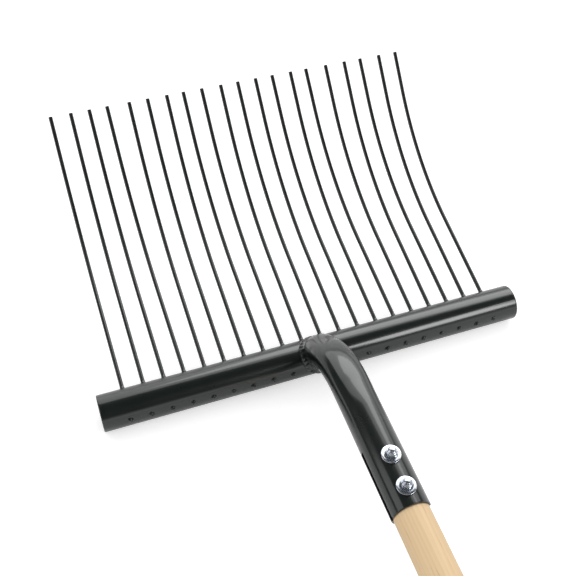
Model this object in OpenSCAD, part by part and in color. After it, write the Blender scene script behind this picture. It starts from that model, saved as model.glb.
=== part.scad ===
// Stable fork for sifting bedding: a row of round wire tines through a steel head tube,
// a bent socket tube welded on the head tube's back, and a wooden handle held in the
// socket by two bolts.
// The fork is drawn in its head's own frame: the head tube's axis is X, the tines leave it
// along +Y, and +Z is the hollow side that carries the bedding. The module lying() then
// puts it down on the floor, resting on its head tube and the end of its handle.

/* [Tines] */
// Number of tines
tine_count = 20; // [8:1:30]
// Distance from one tine's middle to the next
tine_pitch = 20; // [14:0.5:30]
// Diameter of the tine wire
tine_d = 4; // [3:0.1:6]
// Height of the tines' roots above the middle of the head tube
tine_lift = 6.5; // [0:0.5:8]
// Straight root of a tine, from the head tube's middle to the bend
tine_root = 113; // [60:1:180]
// Bend radius of a tine, on its middle line
tine_bend_radius = 275; // [120:1:500]
// Angle through which a tine bends up
tine_bend = 32.5; // [5:0.5:50]
// Straight tip of a tine, after the bend
tine_tip = 44; // [10:1:100]
// Gap all round between a tine and its holes in the head tube
tine_fit = 0.1; // [0.05:0.05:0.4]
// Distance from the head tube's middle to the middle of the row of tines, to the left
row_offset = 1; // [-5:0.1:5]
// Sideways lean of each tine in degrees, left to right, as welding left them
tine_lean = [
    0, 0.1, -0.1, -0.4, 0.2, 0.1, 0.2, -0.2, -0.2, 0,
    -0.2, -0.2, -0.4, -0.2, -0.6, 0, 0.4, 0.2, 0.7, 0.7
];

/* [Head tube] */
// Outside diameter of the head tube, with its paint
head_od = 35.5; // [35.4:0.1:50]
// Wall of the head tube
head_wall = 2; // [1.2:0.1:4]
// Head tube beyond the outermost tine, as the mean of its two ends
head_overhang = 26.5; // [14:0.5:60]
// Radius of the weld that closes each tine's hole at the back
plug_radius = 2.9; // [2.6:0.1:4]
// Height of that weld above the tube's surface
plug_height = 1.1; // [0.5:0.1:2]

/* [Socket tube] */
// Outside diameter of the socket tube, smaller than the head tube's
socket_od = 35; // [24:0.1:35]
// Wall of the socket tube
socket_wall = 1.5; // [1:0.1:3]
// Angle between the socket's foot and the line of the tines' roots
foot_angle = 72; // [45:1:90]
// Angle at which the handle rises from the line of the tines' roots
handle_angle = 10; // [0:0.5:30]
// Distance from the head tube's middle to the middle of the socket, to the left
socket_offset = 0; // [-5:0.1:5]
// Distance from the head tube's surface to where the foot's and the handle's axes cross
neck_height = 44; // [40:0.5:70]
// Bend radius of the socket tube, on its middle line
neck_bend_radius = 80; // [50:1:85]
// Distance from that crossing to the open end of the socket
socket_reach = 176.5; // [150:0.5:260]
// Width of the two clamping slits
slit_width = 6; // [1:0.5:8]
// Length of the clamping slits
slit_length = 62.5; // [20:0.5:68]
// Leg of the weld round the socket's foot
weld_leg = 3.2; // [1.5:0.1:5]
// Swell of that weld above a straight line from toe to toe
weld_swell = 0.9; // [0.2:0.1:1.5]

/* [Handle] */
// Diameter of the handle
handle_d = 32; // [31:0.5:36]
// Full length of the handle with the part inside the socket
handle_length = 1300; // [600:10:1600]
// Length of the handle inside the socket
handle_in_socket = 102.5; // [80:0.5:120]
// Gap all round between the handle and the socket
handle_fit = 0.1; // [0.05:0.05:0.5]
// Radius of the dome on the handle's free end
dome_radius = 22; // [21:1:60]

/* [Bolts] */
// Diameter of the clamping bolts
bolt_d = 6; // [5:0.5:8]
// Gap all round between a bolt and its holes
bolt_fit = 0.1; // [0.05:0.05:0.4]
// Distance from the socket's open end to the middle of the nearer bolt
bolt_edge = 16; // [12:0.5:25]
// Distance between the middles of the two bolts
bolt_spacing = 30; // [22:0.5:40]
// Diameter of the domed bolt head
bolt_head_d = 16.5; // [12:0.5:20]
// Height of the domed bolt head
bolt_head_h = 3.6; // [2:0.1:5]
// Length of the square neck under the bolt head
bolt_neck = 3.5; // [2:0.1:5]
// Length of the bolt that stands out of the nut
bolt_proud = 1.4; // [0.5:0.1:6]
// Outside diameter of the washers
washer_d = 17; // [14:0.5:22]
// Gap all round between a bolt and its washer
washer_fit = 0.2; // [0.1:0.05:0.6]
// Thickness of the washers
washer_h = 1.6; // [1:0.1:2.5]
// Width of the nut across its flats
nut_width = 10; // [9:0.5:14]
// Height of the nut's six-sided part
nut_hex_h = 4; // [3:0.1:7]
// Full height of the nut with its collar
nut_h = 6; // [5:0.1:9]
// Angle at which each nut stopped when it was tightened, in degrees
nut_turn = [-18.5, 25.5]; // [-30:0.5:30]
// Outside diameter of the nut's collar
nut_collar_d = 9; // [8.4:0.1:12]
// Wall of the collar round the nylon ring
nut_collar_wall = 0.6; // [0.4:0.1:1]
// Lip of the collar that is turned in over the nylon ring
nut_lip = 0.5; // [0.3:0.1:0.8]

/* [Hidden] */

paint_black = "#1d1f20";
zinc = "#c9cdd4";
nylon_blue = "#9fb0d8";
ash = "#dfc195";

// Gap left between pieces that are pressed or welded together
seat_gap = 0.05;
// Extra length of a cutting tool past the surface that it cuts
past = 1;
// A straight piece runs this far into the bend that it meets, and is this much thinner, so
// that the two have no surface in common
run_in = 1;
thinner = 0.03;
// Facets of round shapes on screen
$fn = 64;

head_r = head_od / 2;
head_bore_r = head_r - head_wall;
head_length = (tine_count - 1) * tine_pitch + 2 * head_overhang;
tine_r = tine_d / 2;
tine_hole_r = tine_r + tine_fit;
// The tines stop just inside the back of the head tube, under their welds
tine_back = sqrt(head_r ^ 2 - (tine_lift + tine_r) ^ 2) - 2 * seat_gap;

socket_r = socket_od / 2;
socket_bore_r = socket_r - socket_wall;
neck_rise = head_r + neck_height;
neck_turn = foot_angle - handle_angle;
neck_tangent = neck_bend_radius * tan(neck_turn / 2);
foot_straight = neck_rise - neck_tangent;
socket_straight = socket_reach - neck_tangent;

handle_r = handle_d / 2;
tenon_r = min(socket_bore_r - handle_fit, handle_r);
// The handle spreads the slit end of the socket until it fits in at its full thickness
spread = max(0, handle_r + handle_fit - socket_bore_r);
spread_slope = spread / slit_length;
rim_r = socket_r + spread;
handle_start = socket_reach - handle_in_socket;
handle_end = handle_start + handle_length;
dome_h = dome_radius - sqrt(dome_radius ^ 2 - handle_r ^ 2);

bolt_r = bolt_d / 2;
bolt_hole_r = bolt_r + bolt_fit;
neck_hole = bolt_d + 2 * bolt_fit;
washer_hole = bolt_d + 2 * washer_fit;
head_sphere_r = ((bolt_head_d / 2) ^ 2 + bolt_head_h ^ 2) / (2 * bolt_head_h);
ring_r = nut_collar_d / 2 - nut_collar_wall - seat_gap;

// Points of the handle's axis and of a line beside it, as [y, z] in the head's frame
function on_handle(at, above) = [
    -neck_rise * cos(foot_angle) - at * cos(handle_angle) + above * sin(handle_angle),
    neck_rise * sin(foot_angle) + at * sin(handle_angle) + above * cos(handle_angle)
];
function turned(p, angle) = [
    p.x * cos(angle) - p.y * sin(angle),
    p.x * sin(angle) + p.y * cos(angle)
];

// The fork lies on the underside of the head tube and the lower edge of the handle's dome
heel = on_handle(handle_end - dome_h, -handle_r);
lie_angle = 180 + asin(head_r / norm(heel)) - atan2(heel.y, heel.x);
tine_end = [
    tine_root + tine_bend_radius * sin(tine_bend) + tine_tip * cos(tine_bend),
    tine_lift + tine_bend_radius * (1 - cos(tine_bend)) + tine_tip * sin(tine_bend)
];
front_y = turned(tine_end, lie_angle).x + tine_r * sin(tine_bend + lie_angle);
back_y = turned(on_handle(handle_end - dome_radius, 0), lie_angle).x - dome_radius;

function tine_name(i) = str("tine_", i < 9 ? "0" : "", i + 1);
function tine_x(i) = (i - (tine_count - 1) / 2) * tine_pitch - row_offset;
function lean(i) = i < len(tine_lean) ? tine_lean[i] : 0;
function bolt_at(k) = socket_reach - bolt_edge - (1 - k) * bolt_spacing;

// Heights over the handle's axis of the seats on bolt k, where the socket widens to its end
function spread_at(k) = spread_slope * max(0, bolt_at(k) - socket_reach + slit_length);
function washer_seat(k) = socket_r + spread_at(k) + spread_slope * washer_d / 2 + seat_gap;
function nut_seat(k) = washer_seat(k) + washer_h + seat_gap;
function head_seat(k) = -socket_r - spread_at(k) - spread_slope * bolt_head_d / 2 - seat_gap;
bolt_length = nut_seat(1) + nut_h + bolt_proud - head_seat(1);

// Puts the fork down on the floor, with its middle over the origin
module lying() {
    translate([0, -(front_y + back_y) / 2, head_r]) rotate([lie_angle, 0, 0]) children();
}

// Places children on tine i, where it crosses the plane of the head tube's axis
module on_tine(i) {
    translate([tine_x(i), 0, tine_lift]) rotate([0, 0, -lean(i)]) children();
}

// Frame of the socket's foot: +Z runs up the foot from the head tube's axis
module foot_frame() {
    translate([-socket_offset, 0, 0]) rotate([90 - foot_angle, 0, 0]) children();
}

// Frame of the handle: +Z runs away from the head, +Y is its upper side
module handle_frame(at) {
    translate([-socket_offset, on_handle(at, 0).x, on_handle(at, 0).y])
        rotate([90 - handle_angle, 0, 0]) children();
}

// Frame of bolt k: +Z is the bolt's axis, from its head to its nut, and 0 is the handle's axis
module bolt_frame(k) {
    handle_frame(bolt_at(k)) rotate([-90, 0, 0]) children();
}

// Turns a shape made by turning about Z so that it bends in the YZ plane, starting along Z
module in_bend_plane() {
    rotate([90, 0, 90]) children();
}

module head_tube() {
    color(paint_black) lying() difference() {
        rotate([0, 90, 0]) cylinder(r = head_r, h = head_length, center = true);
        rotate([0, 90, 0]) cylinder(r = head_bore_r, h = head_length + 2 * past, center = true);
        for (i = [0 : tine_count - 1]) {
            on_tine(i) rotate([90, 0, 0]) cylinder(r = tine_hole_r, h = head_od + 2 * past, center = true);
        }
    }
}

module tine(i) {
    color(paint_black) lying() on_tine(i) {
        translate([0, -tine_back, 0]) rotate([-90, 0, 0])
            cylinder(r = tine_r - thinner, h = tine_back + tine_root + run_in);
        translate([0, tine_root, tine_bend_radius]) in_bend_plane() rotate([0, 0, -90])
            rotate_extrude(angle = tine_bend) translate([tine_bend_radius, 0]) circle(r = tine_r);
        translate([0, tine_end.x, tine_end.y - tine_lift]) rotate([tine_bend + 90, 0, 0])
            cylinder(r = tine_r - thinner, h = tine_tip + run_in);
    }
}

// A low blob of weld over the back end of each tine, apart from those under the foot's weld.
// Each is turned from a stepped outline with twelve sides, as weld is never quite round.
module tine_welds() {
    back_angle = asin(tine_lift / head_r);
    under_foot = head_r * sin(foot_angle - back_angle);
    clear_of_foot = socket_r + weld_leg + plug_radius;
    shoulder = [0.85 * plug_radius, 0.55 * plug_height];
    crown_r = 0.45 * plug_radius;
    outline = [[0, 0], [plug_radius, 0], shoulder, [crown_r, plug_height], [0, plug_height]];
    color(paint_black) lying() for (i = [0 : tine_count - 1]) {
        if (norm([tine_x(i) + socket_offset, under_foot]) > clear_of_foot) {
            translate([tine_x(i) - head_r * sin(lean(i)), 0, 0]) rotate([90 - back_angle, 0, 0])
                translate([0, 0, head_r + seat_gap]) rotate_extrude($fn = 12) polygon(outline);
        }
    }
}

// The socket's path as a solid rod: straight foot, bend and a straight that widens to its end
module neck_rod(r, extra) {
    straight = socket_straight + run_in;
    wider = r - thinner + spread + extra * spread_slope;
    profile = [
        [0, 0], [r - thinner, 0], [r - thinner, straight - slit_length],
        [wider, straight + extra], [0, straight + extra]
    ];
    foot_frame() {
        cylinder(r = r - thinner, h = foot_straight + run_in);
        translate([0, -neck_bend_radius, foot_straight]) in_bend_plane()
            rotate_extrude(angle = neck_turn) translate([neck_bend_radius, 0]) circle(r = r);
    }
    handle_frame(neck_tangent - run_in) rotate_extrude() polygon(profile);
}

module socket() {
    color(paint_black) lying() difference() {
        neck_rod(socket_r, 0);
        neck_rod(socket_bore_r, past);
        rotate([0, 90, 0]) cylinder(r = head_r + seat_gap, h = head_length, center = true);
        handle_frame(socket_reach - slit_length)
            translate([-rim_r - past, -slit_width / 2, 0])
            cube([2 * (rim_r + past), slit_width, slit_length + past]);
        for (k = [0 : 1]) {
            bolt_frame(k) cylinder(r = bolt_hole_r, h = rim_r + past);
            bolt_frame(k) translate([-neck_hole / 2, -neck_hole / 2, -rim_r - past])
                cube([neck_hole, neck_hole, rim_r + past]);
        }
    }
}

// The weld's section at angle p round the foot, as points in the foot's frame. The first
// point is the root, on the line where the two tubes meet, and the others run from the toe
// on the head tube over the crown to the toe on the socket.
weld_stations = 72;
weld_steps = 4;
function unit(v) = v / norm(v);
toe_gap = 2 * seat_gap;
root_gap = 3 * seat_gap;
function onto_head(v) = [v.x, each (head_r + toe_gap) * unit([v.y, v.z])];
function onto_socket(v) = [each (socket_r + toe_gap) * unit([v.x, v.y]), v.z];
function weld_section(p) =
    let (
        y = socket_r * sin(p),
        z = sqrt(head_r ^ 2 - y ^ 2),
        meet = [socket_r * cos(p), y, z],
        head_normal = [0, y, z] / head_r,
        socket_normal = [cos(p), sin(p), 0],
        tangent = unit([-socket_r * sin(p), socket_r * cos(p), -y * socket_r * cos(p) / z]),
        out = unit(head_normal + socket_normal),
        head_toe = onto_head(meet + weld_leg * unit(cross(tangent, head_normal))),
        socket_toe = onto_socket(meet + weld_leg * unit(cross(socket_normal, tangent)))
    )
    concat(
        [meet + root_gap * out],
        [for (j = [0 : weld_steps])
            let (t = j / weld_steps)
            (1 - t) * head_toe + t * socket_toe + 4 * t * (1 - t) * weld_swell * out]
    );

module socket_weld() {
    ring = weld_steps + 2;
    points = [for (s = [0 : weld_stations - 1]) each weld_section(s * 360 / weld_stations)];
    faces = [
        for (s = [0 : weld_stations - 1], j = [0 : ring - 1])
            let (
                a = s * ring + j,
                b = s * ring + (j + 1) % ring,
                c = ((s + 1) % weld_stations) * ring + (j + 1) % ring,
                d = ((s + 1) % weld_stations) * ring + j
            )
            each [[a, b, c], [a, c, d]]
    ];
    color(paint_black) lying() foot_frame() polyhedron(points = points, faces = faces);
}

// Turned wooden handle: a slightly thinner end in the socket, the shaft and a domed end
dome_steps = 12;
module handle() {
    dome_start = asin(handle_r / dome_radius);
    profile = concat(
        [[0, 0], [tenon_r, 0], [tenon_r, handle_in_socket - slit_length], [handle_r, handle_in_socket]],
        [for (s = [dome_steps : -1 : 1]) let (t = dome_start * s / dome_steps)
            [dome_radius * sin(t), handle_length - dome_radius * (1 - cos(t))]],
        [[0, handle_length]]
    );
    color(ash) lying() difference() {
        handle_frame(handle_start) rotate_extrude() polygon(profile);
        for (k = [0 : 1]) {
            bolt_frame(k) cylinder(r = bolt_hole_r, h = handle_d + 2 * past, center = true);
            bolt_frame(k) translate([-neck_hole / 2, -neck_hole / 2, head_seat(k)])
                cube([neck_hole, neck_hole, bolt_neck + bolt_fit]);
        }
    }
}

// Round-headed bolt with a square neck that keeps it from turning
module clamp_bolt(k) {
    color(zinc) lying() bolt_frame(k) translate([0, 0, head_seat(k)]) {
        intersection() {
            translate([0, 0, -bolt_head_h]) cylinder(d = bolt_head_d, h = bolt_head_h);
            translate([0, 0, head_sphere_r - bolt_head_h]) sphere(r = head_sphere_r);
        }
        translate([-bolt_r, -bolt_r, 0]) cube([bolt_d, bolt_d, bolt_neck]);
        cylinder(r = bolt_r, h = bolt_length);
    }
}

module washer(k) {
    color(zinc) lying() bolt_frame(k) translate([0, 0, washer_seat(k)]) difference() {
        cylinder(d = washer_d, h = washer_h);
        translate([0, 0, -past]) cylinder(d = washer_hole, h = washer_h + 2 * past);
    }
}

// Locking nut: six flats with chamfered corners, and a collar that holds the nylon ring
module lock_nut(k) {
    across_corners = nut_width / cos(30);
    // The cone that cuts the corners is wider than the nut by this much at its seat
    cone_spread = 6 * (across_corners - nut_width);
    color(zinc) lying() bolt_frame(k) translate([0, 0, nut_seat(k)]) difference() {
        union() {
            intersection() {
                rotate([0, 0, nut_turn[k]]) cylinder(d = across_corners, h = nut_hex_h, $fn = 6);
                cylinder(d1 = across_corners + cone_spread, d2 = nut_width, h = nut_hex_h);
            }
            cylinder(d = nut_collar_d, h = nut_h);
        }
        translate([0, 0, -past]) cylinder(r = bolt_hole_r, h = nut_h + 2 * past);
        translate([0, 0, nut_hex_h])
            cylinder(r = nut_collar_d / 2 - nut_collar_wall, h = nut_h - nut_hex_h - nut_lip);
        translate([0, 0, nut_h - nut_lip - seat_gap])
            cylinder(r = nut_collar_d / 2 - nut_collar_wall - nut_lip, h = nut_lip + past);
    }
}

module nylon_ring(k) {
    ring_seat = nut_seat(k) + nut_hex_h + seat_gap;
    color(nylon_blue) lying() bolt_frame(k) translate([0, 0, ring_seat]) difference() {
        cylinder(r = ring_r, h = nut_h - nut_hex_h - nut_lip - 2 * seat_gap);
        translate([0, 0, -past]) cylinder(r = bolt_hole_r, h = nut_h);
    }
}

head_tube();
for (i = [0 : tine_count - 1]) {
    tine(i);
}
tine_welds();
socket();
socket_weld();
handle();
for (k = [0 : 1]) {
    clamp_bolt(k);
    washer(k);
    lock_nut(k);
    nylon_ring(k);
}
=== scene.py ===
# %% [markdown]
# # A stable fork, piece by piece
# This lesson dresses a stable fork for a studio picture. The fork's solids come from a packed
# model, which fixes every size and place. Here they get the shapes that a solid modeller leaves
# out, such as weld ripples, rolled edges and threads, and the finishes: gloss black paint, bright
# zinc and pale ash. One Blender unit is one metre. The fork lies on the floor with the hollow of
# its tines facing up, +Y points to the tips of the tines and +X runs along the head tube.

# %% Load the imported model
import math
import bpy
import numpy as np
from mathutils import Matrix, Quaternion, Vector


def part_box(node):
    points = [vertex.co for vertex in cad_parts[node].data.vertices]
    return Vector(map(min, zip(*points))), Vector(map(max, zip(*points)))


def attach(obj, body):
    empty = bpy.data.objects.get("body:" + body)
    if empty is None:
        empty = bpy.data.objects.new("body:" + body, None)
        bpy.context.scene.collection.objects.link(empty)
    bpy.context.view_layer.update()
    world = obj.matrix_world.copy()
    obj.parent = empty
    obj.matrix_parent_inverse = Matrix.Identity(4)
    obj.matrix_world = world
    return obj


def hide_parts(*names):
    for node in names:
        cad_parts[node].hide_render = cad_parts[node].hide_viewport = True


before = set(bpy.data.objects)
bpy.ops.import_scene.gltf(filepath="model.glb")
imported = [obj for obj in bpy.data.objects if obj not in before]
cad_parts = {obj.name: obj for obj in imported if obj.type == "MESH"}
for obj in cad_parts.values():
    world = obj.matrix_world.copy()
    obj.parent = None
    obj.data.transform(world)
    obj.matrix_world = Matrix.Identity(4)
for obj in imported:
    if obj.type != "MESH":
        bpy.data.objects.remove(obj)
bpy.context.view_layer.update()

# %% [markdown]
# ## The camera
# The picture is taken from beside the handle, looking down at the head at about 49 degrees. A
# camera is set by where it stands and which way its own right and up point, so those
# three vectors are written down and put into its matrix as columns. Blender's camera looks along
# its own -Z, so the third column points back from the subject. The small shift puts the optical
# axis a few pixels off the picture's middle, as cropping does.

# %% Camera
PICTURE_WIDTH, FOCAL_PIXELS = 586, 887.8
AXIS_RIGHT, AXIS_UP = -1.3, 5.5
SENSOR_WIDTH = 36.0
CAMERA_PLACE = (-0.22472, 0.07551, 0.71912)
camera_right = Vector((0.93878, -0.34318, 0.03039)).normalized()
camera_up = Vector((0.23928, 0.71291, 0.65917))
camera_back = camera_right.cross(camera_up).normalized()
camera_up = camera_back.cross(camera_right)
camera_data = bpy.data.cameras.new("camera")
camera_data.sensor_width = SENSOR_WIDTH
camera_data.lens = FOCAL_PIXELS / PICTURE_WIDTH * SENSOR_WIDTH
camera_data.shift_x = AXIS_RIGHT / PICTURE_WIDTH
camera_data.shift_y = AXIS_UP / PICTURE_WIDTH
camera_data.clip_end = 50.0
camera = bpy.data.objects.new("camera", camera_data)
bpy.context.scene.collection.objects.link(camera)
turn = Matrix((camera_right, camera_up, camera_back)).transposed().to_4x4()
camera.matrix_world = Matrix.Translation(CAMERA_PLACE) @ turn
bpy.context.scene.camera = camera
print("lens", round(camera_data.lens, 2), "mm, looking down",
      round(math.degrees(math.asin(camera_back.z)), 1), "degrees")

# %% [markdown]
# ## Sizes
# The pieces made below have to meet the solids exactly, so the sizes of the solids are repeated
# here in millimetres. Shapes are worked out in the head's own frame, where X is the head tube's
# axis, the tines leave along +Y and Z is the hollow side. One last step tips each shape back by
# the small angle at which the fork lies and turns millimetres into metres.

# %% Sizes of the solids, in millimetres
TINE_COUNT, TINE_PITCH, TINE_RADIUS, TINE_LIFT = 20, 20.0, 2.0, 6.5
ROW_OFFSET = -1.0
TINE_ROOT, TINE_BEND_RADIUS, TINE_TIP = 113.0, 275.0, 44.0
TINE_BEND = math.radians(32.5)
TINE_LEAN = np.radians([0, 0.1, -0.1, -0.4, 0.2, 0.1, 0.2, -0.2, -0.2, 0,
                        -0.2, -0.2, -0.4, -0.2, -0.6, 0, 0.4, 0.2, 0.7, 0.7])
HEAD_RADIUS, HEAD_WALL, HEAD_LENGTH = 17.75, 2.0, 433.0
PLUG_RADIUS, PLUG_HEIGHT, ON_BEAD = 2.9, 1.1, 2.4
SOCKET_RADIUS, SOCKET_WALL = 17.5, 1.5
FOOT_ANGLE, HANDLE_ANGLE = math.radians(72), math.radians(10)
NECK_RISE, NECK_BEND_RADIUS, SOCKET_REACH = 61.75, 80.0, 176.5
SLIT_WIDTH, SLIT_LENGTH = 6.0, 62.5
WELD_LEG, WELD_SWELL = 3.2, 0.9
HANDLE_RADIUS, HANDLE_LENGTH, HANDLE_IN_SOCKET, HANDLE_GAP = 16.0, 1300.0, 102.5, 0.1
DOME_RADIUS = 22.0
BOLT_RADIUS, BOLT_PROUD, BOLT_NECK = 3.0, 1.4, 3.5
BOLT_HEAD_RADIUS, BOLT_HEAD_HEIGHT = 8.25, 3.6
WASHER_RADIUS, WASHER_HEIGHT, WASHER_HOLE = 8.5, 1.6, 3.2
NUT_WIDTH, NUT_HEX_HEIGHT, NUT_HEIGHT, COLLAR_RADIUS = 10.0, 4.0, 6.0, 4.5
SEAT = 0.05
BOLT_PLACES = [SOCKET_REACH - 46.0, SOCKET_REACH - 16.0]
NUT_TURNS = [-18.5, 25.5]

# %% The head's frame and how the fork lies
sideways = np.array([1.0, 0, 0])
SPREAD = HANDLE_RADIUS + HANDLE_GAP - (SOCKET_RADIUS - SOCKET_WALL)
handle_end = SOCKET_REACH - HANDLE_IN_SOCKET + HANDLE_LENGTH
dome_height = DOME_RADIUS - math.sqrt(DOME_RADIUS ** 2 - HANDLE_RADIUS ** 2)
handle_out = np.array([0, -math.cos(HANDLE_ANGLE), math.sin(HANDLE_ANGLE)])
handle_up = np.array([0, math.sin(HANDLE_ANGLE), math.cos(HANDLE_ANGLE)])
foot_ahead = np.array([0, -math.cos(FOOT_ANGLE), math.sin(FOOT_ANGLE)])
foot_out = np.array([0, math.sin(FOOT_ANGLE), math.cos(FOOT_ANGLE)])
crossing = NECK_RISE * foot_ahead
heel = crossing + (handle_end - dome_height) * handle_out - HANDLE_RADIUS * handle_up
LIE = math.pi + math.asin(HEAD_RADIUS / np.linalg.norm(heel)) - math.atan2(heel[2], heel[1])
low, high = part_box("head_tube")
head_y = (low.y + high.y) / 2


def lying(points):
    """Points of the head's frame in millimetres, turned about X by LIE, set down and in metres."""
    x, y, z = np.moveaxis(np.asarray(points, float), -1, 0)
    return np.stack([x / 1000,
                     (y * math.cos(LIE) - z * math.sin(LIE)) / 1000 + head_y,
                     (y * math.sin(LIE) + z * math.cos(LIE) + HEAD_RADIUS) / 1000], -1)


print("the fork lies back by", round(math.degrees(LIE) % 360, 3), "degrees")
print("the head's axis is at y =", round(head_y, 5))

# %% [markdown]
# ## From numbers to a mesh
# Nearly every piece is a grid: rows along it and columns round it, with one point for each pair.
# Numpy works all the points out at once, and the faces are the cells between neighbours. Where a
# direction closes on itself, the last row or column is joined to the first. An end that shrinks to
# a point is merged, so that no piece has a hole.

# %% Grid to mesh
MERGE_DISTANCE = 1e-6


def grid_faces(rows, columns, wrap_rows=False, wrap_columns=True):
    """Corner numbers of every cell of a grid, running round each cell against the clock."""
    r = np.arange(rows if wrap_rows else rows - 1)[:, None]
    c = np.arange(columns if wrap_columns else columns - 1)[None, :]
    r2, c2 = (r + 1) % rows, (c + 1) % columns
    cells = [r * columns + c, r * columns + c2, r2 * columns + c2, r2 * columns + c]
    return np.stack(np.broadcast_arrays(*cells), -1).reshape(-1, 4)


def make_piece(name, points, faces, replaced, finish, sharp=40, quiet=False):
    """Puts points and faces into a mesh, merges doubles, turns it outwards and places it in the fork."""
    mesh = bpy.data.meshes.new(name)
    mesh.from_pydata(lying(points).reshape(-1, 3), [], faces.tolist())
    piece = bpy.data.objects.new(name, mesh)
    bpy.context.scene.collection.objects.link(piece)
    for other in bpy.context.selected_objects:
        other.select_set(False)
    piece.select_set(True)
    bpy.context.view_layer.objects.active = piece
    bpy.ops.object.mode_set(mode="EDIT")
    bpy.ops.mesh.select_all(action="SELECT")
    bpy.ops.mesh.remove_doubles(threshold=MERGE_DISTANCE)
    bpy.ops.mesh.normals_make_consistent(inside=False)
    bpy.ops.object.mode_set(mode="OBJECT")
    mesh.shade_smooth()
    mesh.set_sharp_from_angle(angle=math.radians(sharp))
    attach(piece, "root")
    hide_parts(*replaced)
    mesh.materials.append(finish)
    if not quiet:
        print(f"{name}: {len(mesh.polygons)} faces, {1000 * max(piece.dimensions):.1f} mm long")
    return piece


def lathe(profile, columns):
    """A surface of revolution: radius and height along a profile, turned through a full circle."""
    angle = np.linspace(0, 2 * math.pi, columns, endpoint=False)
    radius, height = np.asarray(profile, float).T
    return np.stack([radius[:, None] * np.cos(angle), radius[:, None] * np.sin(angle),
                     np.broadcast_to(height[:, None], (len(radius), columns))], -1)


def arc(centre, radius, start, stop, steps):
    """Points of a circular arc in a profile, with its angles in degrees."""
    a = np.radians(np.linspace(start, stop, steps))
    return np.stack([centre[0] + radius * np.cos(a), centre[1] + radius * np.sin(a)], -1)


# %% [markdown]
# ## Shader maths that reads like maths
# A material in Blender is a web of nodes. Written out one node at a time it is hard to read, so a
# small class wraps a node's output and lets the usual signs add the Math nodes. Everything else
# comes from one method that takes a node's type, its settings and what goes into its sockets.

# %% Sockets with arithmetic
class Value:
    """A node's output that can be added, subtracted and multiplied like a number."""

    def __init__(self, web, socket):
        self.web, self.socket = web, socket

    def maths(self, operation, *others, clamp=False):
        """This value and the others, put through one Math node."""
        inputs = dict(enumerate((self, *others)))
        return self.web.node("ShaderNodeMath", {"operation": operation, "use_clamp": clamp}, inputs)

    def __add__(self, other): return self.maths("ADD", other)
    def __radd__(self, other): return self.maths("ADD", other)
    def __sub__(self, other): return self.maths("SUBTRACT", other)
    def __rsub__(self, other): return self.web.number(other).maths("SUBTRACT", self)
    def __mul__(self, other): return self.maths("MULTIPLY", other)
    def __rmul__(self, other): return self.maths("MULTIPLY", other)

    def beside(self, output):
        """Another output of the node that this value comes from."""
        return Value(self.web, self.socket.node.outputs[output])

    def between(self, low, high):
        """0 below low, 1 above high and a smooth rise between them."""
        return self.web.node("ShaderNodeMapRange", {"interpolation_type": "SMOOTHSTEP"},
                             {"Value": self, "From Min": low, "From Max": high})


# %% Adding nodes
class Web:
    """A web of nodes, of a material or of the room."""

    def __init__(self, tree):
        self.tree = tree

    def node(self, kind, settings, inputs, output=0):
        """Adds a node, applies its settings, then fills its sockets with values or links."""
        node = self.tree.nodes.new(kind)
        for key, value in settings.items():
            if key == "stops":
                for element, (position, colour) in zip(node.color_ramp.elements, value):
                    element.position, element.color = position, (*colour, 1.0)
            else:
                setattr(node, key, value)
        for key, value in inputs.items():
            self.fill(node.inputs[key], value)
        return Value(self, node.outputs[output])

    def fill(self, target, value):
        """Links a value to a socket, or writes a plain number or colour into it."""
        if isinstance(value, Value):
            self.tree.links.new(value.socket, target)
        else:
            target.default_value = value

    def number(self, value):
        """A plain number as a value, for sums that start with one."""
        return self.node("ShaderNodeMath", {"operation": "ADD"}, {0: value, 1: 0.0})

    def mix(self, factor, first, second):
        """A colour that goes from first to second as factor goes from 0 to 1."""
        first, second = (c if isinstance(c, Value) else (*c, 1.0) for c in (first, second))
        return self.node("ShaderNodeMix", {"data_type": "RGBA"}, {0: factor, 6: first, 7: second}, 2)


class Finish(Web):
    """One material, with its Principled shader and the nodes that feed it."""

    def __init__(self, name):
        self.material = bpy.data.materials.new(name)
        self.material.use_nodes = True
        super().__init__(self.material.node_tree)
        self.shader = self.tree.nodes["Principled BSDF"]
        self.place = self.node("ShaderNodeTexCoord", {}, {}, "Object")

    def noise(self, place, scale, detail, roughness):
        """Cloudy noise around 0.5 whose lumps are about 1 / scale metres wide."""
        return self.node("ShaderNodeTexNoise", {}, {"Vector": place, "Scale": scale,
                                                    "Detail": detail, "Roughness": roughness})

    def turned(self, place, turn):
        """The place turned by three angles, so that a pattern follows a tilted piece."""
        return self.node("ShaderNodeMapping", {}, {"Vector": place, "Rotation": turn})

    def stretched(self, place, scale):
        """The place with each axis scaled, so that a pattern runs along one of them."""
        return self.node("ShaderNodeMapping", {}, {"Vector": place, "Scale": scale})

    def bump(self, height, strength):
        """The surface's normal over a relief whose height is in metres."""
        return self.node("ShaderNodeBump", {}, {"Height": height, "Strength": strength, "Distance": 1.0})

    def set(self, **sockets):
        """Sets the shader's sockets, with underscores for the spaces in their names."""
        for key, value in sockets.items():
            self.fill(self.shader.inputs[key.replace("_", " ")], value)
        return self.material


# %% [markdown]
# ## Gloss black paint
# The metal was dipped or sprayed in black enamel. A wet coat pulls itself almost flat and leaves
# orange peel: swells a millimetre or two across and a few microns high, which only show where a
# highlight runs over them. The paint is a nearly black base under a clear coat. Two shallow
# noises bend the highlight, and the gloss wanders a little. Welds are rougher below the paint, so
# their relief is higher, and the plug welds have a thinner coat.

# %% Paint
DEEP_BLACK, PALE_BLACK = (0.0012, 0.0050, 0.0036), (0.0028, 0.0085, 0.0062)


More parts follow.
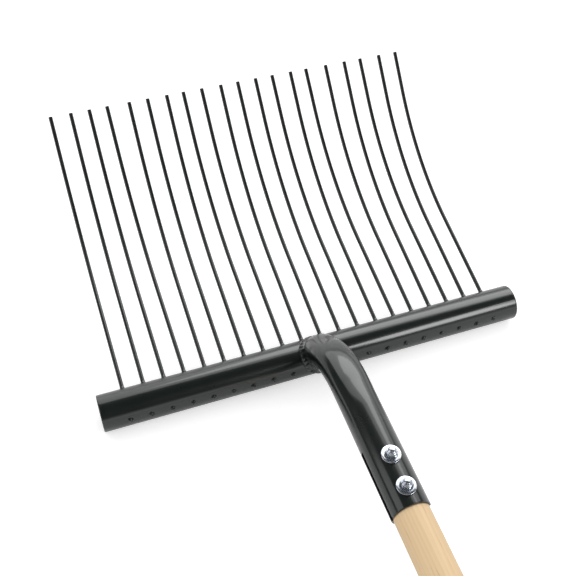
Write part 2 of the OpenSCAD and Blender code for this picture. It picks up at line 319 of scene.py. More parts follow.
def black_paint(name, peel_scale, peel_height, gloss, coat=1.0):
    """Black paint by the scale and height of its orange peel, its coat's roughness and its weight."""
    f = Finish(name)
    peel = f.noise(f.place, peel_scale, 2.0, 0.4)
    sag = f.noise(f.place, peel_scale / 9, 2.0, 0.5)
    clouds = f.noise(f.place, 35.0, 4.0, 0.6)
    relief = peel * peel_height + sag * (3 * peel_height)
    return f.set(Base_Color=f.mix(clouds, DEEP_BLACK, PALE_BLACK),
                 Roughness=clouds * 0.10 + 0.24, Specular_IOR_Level=0.35,
                 Coat_Weight=coat, Coat_Roughness=gloss, Coat_IOR=1.5,
                 Normal=f.bump(relief, 1.0))


tube_paint = black_paint("black_paint_tubes", 600.0, 0.000004, 0.11)
tine_paint = black_paint("black_paint_tines", 900.0, 0.000004, 0.09)
weld_paint = black_paint("black_paint_welds", 1100.0, 0.00004, 0.10)
plug_paint = black_paint("black_paint_plugs", 1100.0, 0.00002, 0.08, coat=0.4)
print("paints:", tube_paint.name, tine_paint.name, weld_paint.name, plug_paint.name)

# %% [markdown]
# ## Bright zinc
# The bolts, nuts and washers are barrel plated: thin bright zinc with a faint blue cast, over
# steel that still shows its turning and stamping marks. It is a metal, so its colour tints what it
# mirrors. Fine noise roughens it unevenly, and a slight bump breaks up the reflections.

# %% Zinc
def bright_zinc():
    """Plated steel whose tone and gloss follow one cloudy noise, with a finer one in its relief."""
    f = Finish("bright_zinc")
    cloud = f.noise(f.place, 450.0, 4.0, 0.6)
    grit = f.noise(f.place, 2600.0, 3.0, 0.6)
    tone = f.mix(cloud.between(0.3, 0.7), (0.66, 0.71, 0.79), (0.80, 0.84, 0.89))
    return f.set(Base_Color=tone, Metallic=1.0, Roughness=cloud * 0.08 + 0.08,
                 Normal=f.bump(cloud * 0.0000012 + grit * 0.0000002, 1.0))


zinc = bright_zinc()

# %% [markdown]
# ## Nylon
# The ring in a locking nut grips the thread. It is moulded in a waxy pale blue that lets a little
# light in below its surface.

# %% Nylon
def blue_nylon():
    """Waxy plastic whose colour, gloss and relief follow one fine noise."""
    f = Finish("blue_nylon")
    cloud = f.noise(f.place, 900.0, 3.0, 0.5)
    return f.set(Base_Color=f.mix(cloud, (0.13, 0.17, 0.38), (0.24, 0.30, 0.55)),
                 Roughness=cloud * 0.2 + 0.3, Subsurface_Weight=0.1,
                 Subsurface_Radius=(0.0006, 0.0006, 0.0009), Normal=f.bump(cloud * 0.00002, 1.0))


nylon = blue_nylon()

# %% [markdown]
# ## Ash
# The handle is turned from straight-grained ash. Its growth rings are sheets that the turning
# cuts lengthwise, so they show as long bands of paler and warmer wood, with rows of open pores
# drawn out into fine dark dashes along the grain. All of it is noise stretched along the handle,
# which is tipped by two degrees to the floor, so the pattern's coordinates are turned with it.
# Inside the socket its colour is nearly black and it has no coat: this is painted shade, so that the gap at
# the rim is dark.

# %% Wood
HANDLE_TILT = LIE % (2 * math.pi) - HANDLE_ANGLE
rim = lying(crossing + SOCKET_REACH * handle_out)
RIM_PLACE = float(rim[1] * math.cos(HANDLE_TILT) + rim[2] * math.sin(HANDLE_TILT))


def pale_ash():
    """Ash as a ground colour with rings, fibres, patches and pores laid over it one by one, and painted shade
    inside the socket.
    """
    f = Finish("pale_ash")
    along = f.turned(f.place, (-HANDLE_TILT, 0.0, 0.0))
    across_rings = f.stretched(f.turned(along, (0.0, 0.5, 0.0)), (1.0, 0.035, 0.45))
    rings = f.node("ShaderNodeTexWave",
                   {"wave_type": "BANDS", "bands_direction": "X", "wave_profile": "SAW"},
                   {"Vector": across_rings, "Scale": 95.0, "Distortion": 3.2,
                    "Detail": 3.0, "Detail Scale": 1.3, "Detail Roughness": 0.55})
    fibre = f.noise(f.stretched(along, (900.0, 14.0, 900.0)), 1.0, 4.0, 0.6)
    pores = f.noise(f.stretched(along, (1500.0, 55.0, 1500.0)), 1.0, 2.0, 0.5)
    pore = pores.between(0.62, 0.70) * rings.between(0.35, 0.9)
    patch = f.noise(f.stretched(along, (14.0, 3.0, 14.0)), 1.0, 2.0, 0.5)
    ground = f.mix(rings.between(0.1, 0.95) * 0.45, (0.80, 0.585, 0.33), (0.70, 0.48, 0.245))
    ground = f.mix(fibre.between(0.35, 0.7) * 0.35, ground, (0.86, 0.655, 0.41))
    ground = f.mix(patch.between(0.35, 0.75) * 0.35, ground, (0.74, 0.50, 0.27))
    ground = f.mix(pore * 0.35, ground, (0.42, 0.26, 0.12))
    reach = f.node("ShaderNodeSeparateXYZ", {}, {"Vector": along}, "Y")
    # Painted shade: inside the socket the wood is coloured nearly black and its coat is taken away.
    inside = reach.between(RIM_PLACE - 0.0015, RIM_PLACE + 0.0005)
    ground = f.mix(inside, ground, (0.004, 0.004, 0.004))
    return f.set(Base_Color=ground, Roughness=fibre * 0.18 + 0.40 + pore * 0.1,
                 Coat_Weight=(1 - inside) * 0.3, Coat_Roughness=0.32,
                 Normal=f.bump(fibre * 0.00002 - pore * 0.00006, 0.8))


ash_wood = pale_ash()
print("finishes:", zinc.name, nylon.name, ash_wood.name)

# %% [markdown]
# ## Head tube
# The head is a length of drawn steel tube, open at both ends. A solid modeller leaves its ends
# razor sharp, but a sawn and painted tube has a soft lip that catches the light. So the wall's
# section, with rounded corners, is carried round the axis. The barrel's last row lies close to
# each lip, which keeps its smooth shading from bending there.

# %% Head tube
HEAD_COLUMNS, OUTER_LIP, INNER_LIP, LIP_ROW = 160, 0.9, 0.5, 2.2
half, outer, inner = HEAD_LENGTH / 2, HEAD_RADIUS, HEAD_RADIUS - HEAD_WALL
barrel = np.linspace(-half + LIP_ROW, half - LIP_ROW, 40)
section = np.concatenate([
    np.stack([np.full(barrel.size, outer), barrel], -1),
    arc((outer - OUTER_LIP, half - OUTER_LIP), OUTER_LIP, 0, 90, 6),
    arc((inner + INNER_LIP, half - INNER_LIP), INNER_LIP, 90, 180, 5),
    np.stack([np.full(barrel.size, inner), barrel[::-1]], -1),
    arc((inner + INNER_LIP, -half + INNER_LIP), INNER_LIP, 180, 270, 5),
    arc((outer - OUTER_LIP, -half + OUTER_LIP), OUTER_LIP, 270, 360, 6)])
turned = lathe(section, HEAD_COLUMNS)
tube_points = np.stack([turned[..., 2], turned[..., 0], turned[..., 1]], -1)
make_piece("head_tube_drawn", tube_points, grid_faces(len(section), HEAD_COLUMNS, wrap_rows=True),
           ["head_tube"], tube_paint)

# %% [markdown]
# ## Tines
# Each tine is 4 mm spring wire, cut square, with a straight root, one long bend and a straight
# tip. Its middle line is a formula of the distance along it, and a circle is carried along that
# line. Just outside the head tube the circle swells for half a millimetre, where paint has
# filled the corner between wire and tube. The tip's edge is broken by a tiny chamfer.

# %% Tines
TINE_COLUMNS, TINE_START, TINE_CHAMFER = 28, -15.4, 0.25
FILLET_HEIGHT, FILLET_FADE = 0.45, 0.55
MIDDLE_TINE = (TINE_COUNT - 1) / 2


def tine_line(s):
    """Middle line of a tine at distance s from the head's axis, and its slope.
    Straight, then a circle of the bend's radius, then straight at the bend's angle."""
    bend_length = TINE_BEND_RADIUS * TINE_BEND
    slope = np.clip((s - TINE_ROOT) / TINE_BEND_RADIUS, 0, TINE_BEND)
    after = np.clip(s - TINE_ROOT - bend_length, 0, None)
    y = np.minimum(s, TINE_ROOT) + TINE_BEND_RADIUS * np.sin(slope) + after * math.cos(TINE_BEND)
    z = TINE_BEND_RADIUS * (1 - np.cos(slope)) + after * math.sin(TINE_BEND)
    return y, z, slope


leaves_tube = math.sqrt(HEAD_RADIUS ** 2 - TINE_LIFT ** 2)
tine_length = TINE_ROOT + TINE_BEND_RADIUS * TINE_BEND + TINE_TIP
near_tube = leaves_tube + np.array([-1.2, -0.6, -0.2, 0.2, 0.6, 1.0, 1.6, 2.4, 3.6])
tine_s = np.concatenate([
    [TINE_START, TINE_START, -10, 0, 10], near_tube, np.linspace(26, TINE_ROOT, 12),
    np.linspace(TINE_ROOT + 4, tine_length - TINE_TIP, 40),
    np.linspace(tine_length - TINE_TIP + 6, tine_length - 1.2, 7),
    tine_length - np.array([TINE_CHAMFER, 0.0, 0.0])])
tine_r = np.full(tine_s.size, TINE_RADIUS)
fillet = FILLET_HEIGHT * np.exp(-np.clip(tine_s - leaves_tube, 0, None) / FILLET_FADE)
tine_r += fillet * (tine_s < 30) * (tine_s > 5)
tine_r[0], tine_r[-1], tine_r[-2] = 0.0, 0.0, TINE_RADIUS - TINE_CHAMFER
round_tine = np.linspace(0, 2 * math.pi, TINE_COLUMNS, endpoint=False)
line_y, line_z, line_slope = tine_line(tine_s)
up = tine_r[:, None] * np.cos(round_tine)
tine_shape = np.stack([tine_r[:, None] * np.sin(round_tine),
                       line_y[:, None] - up * np.sin(line_slope)[:, None],
                       line_z[:, None] + up * np.cos(line_slope)[:, None]], -1)
x, y, z = np.moveaxis(tine_shape, -1, 0)
for number, lean in enumerate(TINE_LEAN):
    across = x * math.cos(lean) + y * math.sin(lean) + (number - MIDDLE_TINE) * TINE_PITCH + ROW_OFFSET
    placed = np.stack([across, y * math.cos(lean) - x * math.sin(lean), z + TINE_LIFT], -1)
    make_piece(f"tine_wire_{number + 1:02d}", placed, grid_faces(*tine_shape.shape[:2]),
               [f"tine_{number + 1:02d}"], tine_paint, quiet=True)
print(TINE_COUNT, "tines,", round(tine_length, 1), "mm each from the head's axis")

# %% [markdown]
# ## Plug welds
# Each tine runs right through the head tube, and its end is welded into the hole at the back.
# The weld is a blob, never quite round and with a small crater where the arc was let go. A blob
# is drawn on a round grid and wrapped onto the tube, so that its rim sinks into the paint. The two
# in the middle stand higher, on the bead round the socket's foot.

# %% Which tines end under the foot's weld
back_angle = math.asin(TINE_LIFT / HEAD_RADIUS)
foot_reach = HEAD_RADIUS * math.sin(FOOT_ANGLE - back_angle)
clear_of_foot = SOCKET_RADIUS + WELD_LEG + PLUG_RADIUS
welded = [n for n in range(TINE_COUNT)
          if math.hypot((n - MIDDLE_TINE) * TINE_PITCH + ROW_OFFSET, foot_reach) > clear_of_foot]
on_bead = [n for n in range(TINE_COUNT) if n not in welded]
print(len(welded), "plug welds on the tube and", len(on_bead), "on the foot's weld")

# %% Plug welds
TOP_ROWS, SKIRT_ROWS, BLOB_COLUMNS = 14, 4, 36
CRATER_DEPTH, CRATER_SPREAD = 0.7, 0.6
RIM_SINK, SKIRT_SINK = 0.08, 0.5
chance = np.random.default_rng(7)


def plug_weld(x0, radius, height, crater, phase, raised):
    """One blob on the tube. Distance from its middle is t from 0 to 1, its rim wobbles with the angle,
    and its height is height * (1 - t^2)^0.7 less a small Gaussian crater beside the middle. All of it
    stands raised above the tube, which is 0 unless it sits on the bead round the socket's foot."""
    t = np.concatenate([np.linspace(0, 1, TOP_ROWS) ** 0.8, np.linspace(0.94, 0, SKIRT_ROWS)])[:, None]
    top = (np.arange(TOP_ROWS + SKIRT_ROWS) < TOP_ROWS)[:, None]
    a = np.linspace(0, 2 * math.pi, BLOB_COLUMNS, endpoint=False)[None, :]
    rim = radius * (1 + 0.10 * np.cos(2 * a + phase[0]) + 0.07 * np.cos(3 * a + phase[1])
                    + 0.03 * np.cos(5 * a + phase[2]))
    u, v = t * rim * np.cos(a), t * rim * np.sin(a)
    from_crater = (u - crater[0]) ** 2 + (v - crater[1]) ** 2
    dent = CRATER_DEPTH * height * np.exp(-from_crater / CRATER_SPREAD)
    dome = height * np.clip(1 - t ** 2, 0, 1) ** 0.7
    lift = np.where(top, dome - dent * (t < 1) - RIM_SINK, -SKIRT_SINK)
    around = back_angle + v / HEAD_RADIUS
    reach = HEAD_RADIUS + raised + lift
    return np.stack([x0 + u, -reach * np.cos(around), reach * np.sin(around)], -1)


blobs, blob_faces, start = [], [], 0
for n in welded + on_bead:
    x0 = (n - MIDDLE_TINE) * TINE_PITCH + ROW_OFFSET - HEAD_RADIUS * math.sin(TINE_LEAN[n])
    radius, height = PLUG_RADIUS * chance.uniform(0.86, 1.0), PLUG_HEIGHT * chance.uniform(1.4, 1.9)
    crater, phase = chance.uniform(-0.9, 0.9, 2), chance.uniform(0, 6.28, 3)
    blob = plug_weld(x0, radius, height, crater, phase, ON_BEAD if n in on_bead else 0.0)
    blobs.append(blob.reshape(-1, 3))
    blob_faces.append(grid_faces(*blob.shape[:2]) + start)
    start += len(blobs[-1])
make_piece("plug_weld_blobs", np.concatenate(blobs), np.concatenate(blob_faces),
           ["tine_welds"], plug_paint, sharp=60)

# %% [markdown]
# ## Socket
# The socket starts as a tube, is bent on a former, cut to sit on the head tube and sawn along
# both sides so that the bolts can clamp it. Its outside is a grid over the distance along the
# tube and the angle round it. Columns follow the slits' edges exactly, so a slit is made by
# leaving its cells out. Solidify then gives the sheet its wall, and Bevel softens every cut. A
# bent tube is often a little flat on the outside of its bend, which spreads the highlight there,
# so the radius is made smaller along that side.

# %% Socket's middle line
neck_turn = FOOT_ANGLE - HANDLE_ANGLE
neck_tangent = NECK_BEND_RADIUS * math.tan(neck_turn / 2)
foot_straight = NECK_RISE - neck_tangent
bend_end = foot_straight + NECK_BEND_RADIUS * neck_turn
socket_end = bend_end + SOCKET_REACH - neck_tangent


def socket_line(s):
    """Middle line of the socket at distance s from the head's axis, with its outward and forward vectors.
    The slope falls from the foot's angle to the handle's in proportion to the distance along the bend."""
    angle = FOOT_ANGLE - np.clip((s - foot_straight) / NECK_BEND_RADIUS, 0, neck_turn)
    out = np.stack([0 * angle, np.sin(angle), np.cos(angle)], -1)
    ahead = np.stack([0 * angle, -np.cos(angle), np.sin(angle)], -1)
    middle = np.minimum(s, foot_straight)[..., None] * foot_ahead + NECK_BEND_RADIUS * (out - foot_out)
    return middle + np.clip(s - bend_end, 0, None)[..., None] * handle_out, out, ahead


# %% Socket's width
FLATTENING, BULGE = 3.2, 0.25
FLAT_RISES, FLAT_FADES = (22, 45), (84, 130)


def ramp(s, start, stop):
    """0 before start, 1 after stop and half a cosine wave between them."""
    return 0.5 - 0.5 * np.cos(math.pi * np.clip((s - start) / (stop - start), 0, 1))


def width_at(s, angle):
    """Radius of the socket at distance s: constant, then widening along the slits to take the handle.
    The bend is flattened by FLATTENING * cos(angle)^3 and bulges by BULGE * sin(angle)^2."""
    widening = SPREAD * np.clip((s - socket_end + SLIT_LENGTH) / SLIT_LENGTH, 0, 1)
    bent = ramp(s, *FLAT_RISES) * (1 - ramp(s, *FLAT_FADES))
    flat = np.clip(np.cos(angle), 0, 1) ** 3
    return SOCKET_RADIUS + widening + bent * (BULGE * np.sin(angle) ** 2 - FLATTENING * flat)


def spaced(marks, step):
    """All the marks in order, with evenly spaced values no further than step apart between them."""
    marks = np.sort(np.array(marks, float))
    parts = [np.linspace(a, b, max(1, math.ceil((b - a) / step)), endpoint=False)
             for a, b in zip(marks[:-1], marks[1:])]
    return np.concatenate(parts + [marks[-1:]])


# %% Socket
SLIT_SIDES = np.array([math.pi / 2, 3 * math.pi / 2])
SUPPORT_ANGLE, SUPPORT, ROW_STEP, COLUMN_STEP = 0.045, 0.8, 2.4, math.radians(3.5)
SADDLE_END, EDGE_SOFTNESS = 60, 0.00035
slit_half = math.asin(SLIT_WIDTH / 2 / SOCKET_RADIUS)
slit_start = socket_end - SLIT_LENGTH
edges = [side + sign * slit_half for side in SLIT_SIDES for sign in (-1, 1)]
supports = [e + d for e in edges for d in (-SUPPORT_ANGLE, SUPPORT_ANGLE)]
angles = spaced([0, 2 * math.pi] + edges + supports, COLUMN_STEP)[:-1]
along = spaced([math.sqrt(HEAD_RADIUS ** 2 - SOCKET_RADIUS ** 2), SADDLE_END, slit_start - SUPPORT,
                slit_start, slit_start + SUPPORT, socket_end - SUPPORT, socket_end], ROW_STEP)

# %% Socket's foot follows the head tube
saddle = np.sqrt(HEAD_RADIUS ** 2 - (SOCKET_RADIUS * np.cos(angles)) ** 2)[None, :]
rows = along[:, None]
from_saddle = saddle + (rows - along[0]) * (SADDLE_END - saddle) / (SADDLE_END - along[0])
distance = np.where(rows < SADDLE_END, from_saddle, rows)
middle, out, ahead = socket_line(distance)
outwards = np.cos(angles)[None, :, None] * out + np.sin(angles)[None, :, None] * sideways
socket_points = middle + width_at(distance, angles[None, :])[..., None] * outwards

# %% Socket's slits, wall and edges
cells = grid_faces(len(along), len(angles))
row, column = np.divmod(np.arange(len(cells)), len(angles))
mid_angle = (angles[column] + np.append(angles[1:], 2 * math.pi)[column]) / 2
beside_slit = np.abs(mid_angle[:, None] - SLIT_SIDES).min(1)
cells = cells[(along[row] <= slit_start - 0.01) | (beside_slit >= slit_half)]
used, corners = np.unique(cells, return_inverse=True)
socket = make_piece("socket_bent", socket_points.reshape(-1, 3)[used], corners.reshape(-1, 4),
                    ["socket"], tube_paint)
wall = socket.modifiers.new("wall", "SOLIDIFY")
wall.thickness, wall.offset, wall.use_even_offset = SOCKET_WALL / 1000, -1.0, True
soft = socket.modifiers.new("soft_edges", "BEVEL")
soft.width, soft.segments = EDGE_SOFTNESS, 2
soft.limit_method, soft.angle_limit = "ANGLE", math.radians(50)
print("socket:", round(socket_end, 1), "mm along its middle line, slits from", round(slit_start, 1))

# %% [markdown]
# ## Weld round the foot
# One pass of weld runs round the foot of the socket. Its section is a swollen triangle between
# the two tubes, and it froze in overlapping crescents, one for each pause of the welder's hand.
# The section is carried round the line where the two tubes meet, and its crown rises and falls
# with the crescents.

# %% Foot weld
WELD_STATIONS, WELD_ROWS, CRESCENTS, TOE_SINK = 480, 13, 27, 0.05
stations = np.linspace(0, 2 * math.pi, WELD_STATIONS, endpoint=False)[:, None]
across = np.linspace(0, 1, WELD_ROWS)[None, :]
foot_x, foot_y = SOCKET_RADIUS * np.cos(stations), SOCKET_RADIUS * np.sin(stations)
foot_z = np.sqrt(HEAD_RADIUS ** 2 - foot_y ** 2)


def normalised(v):
    """Vectors scaled to a length of one."""
    return v / np.linalg.norm(v, axis=-1, keepdims=True)


def vector(*parts):
    """Three coordinates put together, each one stretched to the same grid."""
    return np.stack(np.broadcast_arrays(*parts), -1)


def onto(points, radius, first, second):
    """Points moved straight towards or away from an axis until they are radius from it."""
    points, plane = points.copy(), [first, second]
    points[..., plane] *= radius / np.linalg.norm(points[..., plane], axis=-1, keepdims=True)
    return points


# %% Foot weld's toes and ripples
meet = vector(foot_x, foot_y, foot_z)
head_normal = vector(0 * foot_x, foot_y, foot_z) / HEAD_RADIUS
socket_normal = vector(np.cos(stations), np.sin(stations), 0)
run = normalised(vector(-foot_y, foot_x, -foot_y * foot_x / foot_z))
outward = normalised(head_normal + socket_normal)
wobble = (1 + 0.05 * np.sin(5 * stations + 1.0) + 0.04 * np.sin(11 * stations + 2.3)
          + 0.025 * np.sin(23 * stations))
leg = (1.25 * WELD_LEG * wobble)[..., None]
head_toe = onto(meet + leg * normalised(np.cross(run, head_normal)), HEAD_RADIUS - TOE_SINK, 1, 2)
socket_toe = onto(meet + leg * normalised(np.cross(socket_normal, run)), SOCKET_RADIUS - TOE_SINK, 0, 1)
beat = CRESCENTS * stations + 2.2 * (2 * across - 1) ** 2 + 0.9 * np.sin(5 * stations)
crescent = np.abs(np.sin(beat / 2)) ** 0.7
swell = 4 * across * (1 - across) * WELD_SWELL * (0.60 + 1.15 * crescent)
skin = (1 - across[..., None]) * head_toe + across[..., None] * socket_toe + swell[..., None] * outward
core = meet - 0.5 * outward
bead_points = np.concatenate([skin, core], 1)
bead_points = (bead_points[..., :1] * sideways + bead_points[..., 1:2] * foot_out
               + bead_points[..., 2:] * foot_ahead)
make_piece("foot_weld_bead", bead_points, grid_faces(WELD_STATIONS, WELD_ROWS + 1, wrap_rows=True),
           ["socket_weld"], weld_paint, sharp=70)

# %% [markdown]
# ## Handle
# The handle is turned between centres: an end that fits the socket, the long shaft and a dome.
# The end is a tenth of a millimetre thinner than the shaft and thickens along the slits, which
# open as the handle goes in. Turning leaves the shaft very slightly uneven, so its radius wanders
# by a twentieth of a millimetre along its length, as it does on a real one.

# %% Handle
HANDLE_COLUMNS, START_CHAMFER = 96, 0.6
handle_start, slits_from = SOCKET_REACH - HANDLE_IN_SOCKET, SOCKET_REACH - SLIT_LENGTH
fitted = SOCKET_RADIUS - SOCKET_WALL - HANDLE_GAP
dome_start = math.degrees(math.asin(HANDLE_RADIUS / DOME_RADIUS))
shaft = np.linspace(SOCKET_REACH + 2.0, handle_end - dome_height - 1.5, 160)
uneven = 0.025 * np.sin(shaft / 31) + 0.02 * np.sin(shaft / 83 + 1) - 0.045
dome = arc((0, handle_end - DOME_RADIUS), DOME_RADIUS, 90 - dome_start, 90, 14)
thickening = [np.linspace(fitted, HANDLE_RADIUS - 0.05, 9), np.linspace(slits_from, SOCKET_REACH, 9)]
profile = np.concatenate([
    [[0, handle_start], [fitted - START_CHAMFER, handle_start], [fitted, handle_start + START_CHAMFER]],
    np.stack([np.full(6, fitted), np.linspace(handle_start + 4, slits_from, 6)], -1),
    np.stack(thickening, -1)[1:],
    np.stack([HANDLE_RADIUS + uneven, shaft], -1),
    [[HANDLE_RADIUS - 0.02, handle_end - dome_height - 0.5]], dome[1:]])
profile[-1, 0] = 0.0
turned = lathe(profile, HANDLE_COLUMNS)
handle_points = (crossing + turned[..., :1] * sideways + turned[..., 1:2] * handle_up
                 + turned[..., 2:] * handle_out)
make_piece("handle_turned", handle_points, grid_faces(len(profile), HANDLE_COLUMNS),
           ["handle"], ash_wood, sharp=50)

# %% [markdown]
# ## Bolts, washers and locking nuts
# Two round-headed bolts come up from below through socket and handle. Each piece is a profile
# turned about the bolt's axis. A nut's six sides are made by pulling the radius in to the flats
# and out to the corners, and cutting that with a cone gives the curved chamfer. The thread is the
# same trick: the radius rises and falls with the height and the angle together.

# %% Placing things on a bolt's axis
def on_bolt(points, number):
    """Points about a bolt's axis, moved to where that bolt crosses the handle's axis."""
    base = crossing + BOLT_PLACES[number] * handle_out
    return (base + points[..., :1] * sideways + points[..., 1:2] * -handle_out
            + points[..., 2:] * handle_up)


def spun(points, degrees):
    """Points turned about the bolt's own axis."""
    c, s = math.cos(math.radians(degrees)), math.sin(math.radians(degrees))
    return points @ np.array([[c, s, 0], [-s, c, 0], [0, 0, 1]])


def rounded_ring(inner, outer, low, high, corner):
    """Closed section of a ring with rounded corners, as radius and height."""
    small = corner / 2
    return np.concatenate([arc((outer - corner, low + corner), corner, -90, 0, 5),
                           arc((outer - corner, high - corner), corner, 0, 90, 5),
                           arc((inner + small, high - small), small, 90, 180, 4),
                           arc((inner + small, low + small), small, 180, 270, 4)])


slope = SPREAD / SLIT_LENGTH
spread_here = [slope * max(0.0, place - SOCKET_REACH + SLIT_LENGTH) for place in BOLT_PLACES]
washer_seats = [SOCKET_RADIUS + extra + slope * WASHER_RADIUS + SEAT for extra in spread_here]
nut_seats = [seat + WASHER_HEIGHT + SEAT for seat in washer_seats]
head_seats = [-SOCKET_RADIUS - extra - slope * BOLT_HEAD_RADIUS - SEAT for extra in spread_here]
BOLT_COLUMNS = 144
angle = np.linspace(0, 2 * math.pi, BOLT_COLUMNS, endpoint=False)[None, :]

# %% Nut
NUT_BORE, NYLON_SEAT, COLLAR_ROLL = 3.15, 3.5, 0.85
flat_reach = NUT_WIDTH / 2 / np.cos(angle % (math.pi / 3) - math.pi / 6)
hex_top = NUT_HEX_HEIGHT + 0.15
height = np.concatenate([[0, 0, 0.15], np.linspace(0.35, NUT_HEX_HEIGHT - 0.1, 16), [hex_top]])[:, None]
cone_top = NUT_WIDTH / 2 + 0.02 + (hex_top - height) * 1.35
cone_low = NUT_WIDTH / 2 - 0.1 + height * 2.2
hexagon = np.minimum(np.minimum(flat_reach, cone_top), cone_low)
hexagon[0] = NUT_BORE
collar = np.concatenate([
    [[COLLAR_RADIUS + 0.12, NUT_HEX_HEIGHT + 0.2], [COLLAR_RADIUS, NUT_HEX_HEIGHT + 0.5],
     [COLLAR_RADIUS, NUT_HEIGHT - 1.0]],
    arc((COLLAR_RADIUS - COLLAR_ROLL, NUT_HEIGHT - COLLAR_ROLL), COLLAR_ROLL, 8, 90, 8),
    [[NYLON_SEAT, NUT_HEIGHT - 0.03], [NYLON_SEAT - 0.08, NUT_HEIGHT - 0.25],
     [NYLON_SEAT, NUT_HEIGHT - 0.5], [NYLON_SEAT, NUT_HEX_HEIGHT],
     [NUT_BORE, NUT_HEX_HEIGHT], [NUT_BORE, 0]]])
nut_radius = np.concatenate([hexagon, np.broadcast_to(collar[:, :1], (len(collar), BOLT_COLUMNS))])
nut_height = np.concatenate([height[:, 0], collar[:, 1]])[:, None] + 0 * angle
nut_shape = np.stack([nut_radius * np.cos(angle), nut_radius * np.sin(angle), nut_height], -1)

# %% Washer and nylon ring
washer_shape = lathe(rounded_ring(WASHER_HOLE, WASHER_RADIUS, 0.0, WASHER_HEIGHT, 0.45), 96)
ring_shape = lathe(rounded_ring(3.1, 3.85, NUT_HEX_HEIGHT + SEAT, NUT_HEIGHT - 0.55, 0.3), 72)

# %% Bolt shape
THREAD_PITCH, THREAD_DEPTH, THREAD_START, THREAD_STEP = 1.0, 0.45, 28.0, 0.1
bolt_top = nut_seats[1] + NUT_HEIGHT + BOLT_PROUD - head_seats[1]
head_sphere = (BOLT_HEAD_RADIUS ** 2 + BOLT_HEAD_HEIGHT ** 2) / (2 * BOLT_HEAD_HEIGHT)
dome_half = math.degrees(math.asin(BOLT_HEAD_RADIUS / head_sphere))
cap = arc((0, head_sphere - BOLT_HEAD_HEIGHT), head_sphere, -90, -90 + dome_half, 12)[:, None]
cap[0, 0, 0] = 0.0
cap[-1, 0] = [BOLT_HEAD_RADIUS - 0.15, -0.25]
rest_z = np.concatenate([[-0.1, 0.0, 0.0, BOLT_NECK, BOLT_NECK + 0.4],
                         np.arange(THREAD_START - 1.0, bolt_top - 0.6, THREAD_STEP),
                         [bolt_top - 0.5, bolt_top - 0.15, bolt_top, bolt_top]])
rest_r = np.full((len(rest_z), BOLT_COLUMNS), BOLT_RADIUS) - 0.02
rest_r[0], rest_r[1] = BOLT_HEAD_RADIUS, BOLT_HEAD_RADIUS - 0.1
to_side = BOLT_RADIUS / np.maximum(np.abs(np.cos(angle)), np.abs(np.sin(angle)))
square = np.minimum(to_side, BOLT_RADIUS * 1.3)
rest_r[2:4] = square - 0.02
turns = (rest_z[:, None] / THREAD_PITCH - angle / (2 * math.pi)) % 1.0
groove = THREAD_DEPTH * np.clip(np.abs(2 * turns - 1) * 1.35 - 0.18, 0, 1)
rest_r = rest_r - groove * (rest_z > THREAD_START)[:, None]
rest_r[-4] = np.minimum(rest_r[-4], BOLT_RADIUS - 0.25)
rest_r[-3] = BOLT_RADIUS - 0.55
rest_r[-2] = BOLT_RADIUS - 0.85
rest_r[-1] = 0.0
bolt_radius = np.concatenate([cap[:, :, 0] + 0 * angle, rest_r])
bolt_height = np.concatenate([cap[:, :, 1] + 0 * angle, rest_z[:, None] + 0 * angle])
bolt_shape = np.stack([bolt_radius * np.cos(angle), bolt_radius * np.sin(angle), bolt_height], -1)

# %% Fasteners
for number in range(2):
    tag = number + 1
    for name, shape, turn, seat, look, node, finish, closed in (
            ("bolt_threaded", bolt_shape, 0, head_seats, "zinc", "clamp_bolt", zinc, False),
            ("washer_stamped", washer_shape, 0, washer_seats, "zinc", "washer", zinc, True),
            ("nut_locking", nut_shape, NUT_TURNS[number], nut_seats, "zinc", "lock_nut", zinc, False),
            ("ring_nylon", ring_shape, 0, nut_seats, "nylon", "nylon_ring", nylon, True)):
        placed = on_bolt(spun(shape, turn) + np.array([0, 0, seat[number]]), number)
        make_piece(f"{name}_{tag}", placed, grid_faces(*shape.shape[:2], wrap_rows=closed),
                   [f"{node}_{tag}"], finish, sharp=30)

# %% [markdown]
# ## Floor
# A product photograph lets the floor burn out to white and keeps only the soft shadow where the
# tubes come near it. The floor is a plain white sheet. For rays from the camera, light of its own
# lifts it to full white, and the shadow still shows. For mirrored rays that light is far weaker,
# because a white floor would make the underside of the black tubes too pale.

# %% Floor
FLOOR_HALF, FLOOR_WHITE = 12, (0.80, 0.80, 0.80, 1.0)
CAMERA_LIFT, MIRROR_LIFT = 0.49, 0.04
floor_mesh = bpy.data.meshes.new("floor")
floor_mesh.from_pydata([(x * FLOOR_HALF, y * FLOOR_HALF, 0) for x, y in ((-1, -1), (1, -1), (1, 1), (-1, 1))],
                       [], [(0, 1, 2, 3)])
floor = bpy.data.objects.new("floor", floor_mesh)
bpy.context.scene.collection.objects.link(floor)
sheet = Finish("white_floor")
seen = sheet.node("ShaderNodeLightPath", {}, {}, "Is Camera Ray")
mirrored = seen.beside("Is Glossy Ray").maths("MAXIMUM", seen.beside("Is Transmission Ray"))
lift = seen * CAMERA_LIFT + mirrored * MIRROR_LIFT
sheet.set(Base_Color=FLOOR_WHITE, Roughness=0.9, Specular_IOR_Level=0.0, Emission_Strength=1.0,
          Emission_Color=sheet.mix(lift, (0.0, 0.0, 0.0), (1.0, 1.0, 1.0)))
floor_mesh.materials.append(sheet.material)

# %% [markdown]
# ## Light
# What makes black paint look like paint is what it mirrors. So five soft boxes show only in
# reflections: a wide one behind the tines with a brighter core, a strip at the left, and one at the
# front right with a core of its own. Two more boxes light only the matt surfaces, so that the wood
# and the floor can be made lighter or darker without moving a highlight. Each lamp is placed by
# its direction and distance from the head.

# %% Soft boxes
HEAD_CENTRE = Vector((0.0, 0.56, 0.03))


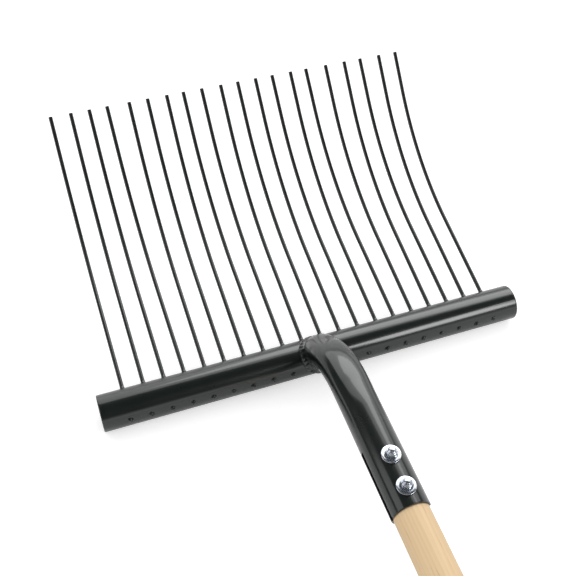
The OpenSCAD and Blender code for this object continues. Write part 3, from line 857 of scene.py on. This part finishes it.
def soft_box(name, azimuth, elevation, roll, far, width, height, radiance, gloss):
    """A rectangular lamp that faces the head, by its direction and distance from there. Rolling it
    lifts its right end. Its power is radiance times pi times its area."""
    data = bpy.data.lights.new(name, "AREA")
    data.shape, data.size, data.size_y = "RECTANGLE", width, height
    data.energy = radiance * math.pi * width * height
    lamp = bpy.data.objects.new(name, data)
    a, e = math.radians(azimuth), math.radians(elevation)
    back = Vector((math.sin(a) * math.cos(e), math.cos(a) * math.cos(e), math.sin(e)))
    lamp.location = HEAD_CENTRE + far * back
    rolled = Quaternion((0, 0, 1), math.radians(-roll))
    lamp.rotation_euler = ((-back).to_track_quat("-Z", "Y") @ rolled).to_euler()
    lamp.visible_glossy, lamp.visible_diffuse = gloss, not gloss
    bpy.context.scene.collection.objects.link(lamp)
    print(name, "gives", round(data.energy, 1), "watts")


soft_box("behind_wide", 20.0, 43.6, 5.5, 2.3, 4.20, 2.25, 1.45, True)
soft_box("behind_core", 34.7, 44.0, 5.5, 2.3, 1.75, 1.20, 2.2, True)
soft_box("left_strip", -83.0, 30.0, 0.0, 2.5, 1.20, 1.60, 1.2, True)
soft_box("right_wide", 143.5, 36.0, 0.0, 2.25, 0.98, 0.90, 4.0, True)
soft_box("right_core", 147.5, 36.0, 0.0, 2.25, 0.62, 0.60, 3.2, True)
soft_box("behind_fill", 5.0, 40.0, 0.0, 4.6, 10.0, 3.0, 0.6, False)
soft_box("right_fill", 137.0, 30.0, 0.0, 2.25, 1.45, 1.8, 1.05, False)

# %% [markdown]
# ## Room
# The room is a colour for each direction. The camera sees plain white. Mirrored rays see white
# near the horizon and a dim grey overhead and to the left, which was chosen so that the black
# paint comes out as in the picture. Matt surfaces get an even pale grey from all sides.

# %% Room
HORIZON, OVERHEAD = (0.11, (1.0, 1.0, 1.0)), (0.34, (0.10, 0.10, 0.103))
LEFT_SLOPE, LEFT_START = -0.6, -0.18
world = bpy.data.worlds.new("studio")
bpy.context.scene.world = world
world.use_nodes = True
room = Web(world.node_tree)
direction = room.node("ShaderNodeTexCoord", {}, {}, "Generated")
to_the_right = room.node("ShaderNodeSeparateXYZ", {}, {0: direction}, "X")
to_the_left = to_the_right.maths("MULTIPLY_ADD", LEFT_SLOPE, LEFT_START, clamp=True)
dimming = to_the_right.beside("Z") + to_the_left
mirrored = room.node("ShaderNodeValToRGB", {"stops": (HORIZON, OVERHEAD)}, {0: dimming})
ray = room.node("ShaderNodeLightPath", {}, {}, "Is Diffuse Ray")
shown = room.mix(ray, mirrored, (0.84, 0.84, 0.84))
shown = room.mix(ray.beside("Is Camera Ray"), shown, (1.0, 1.0, 1.0))
room.fill(room.tree.nodes["Background"].inputs[0], shown)
bpy.context.scene.view_settings.view_transform = "Standard"
print("room:", len(room.tree.nodes), "nodes")
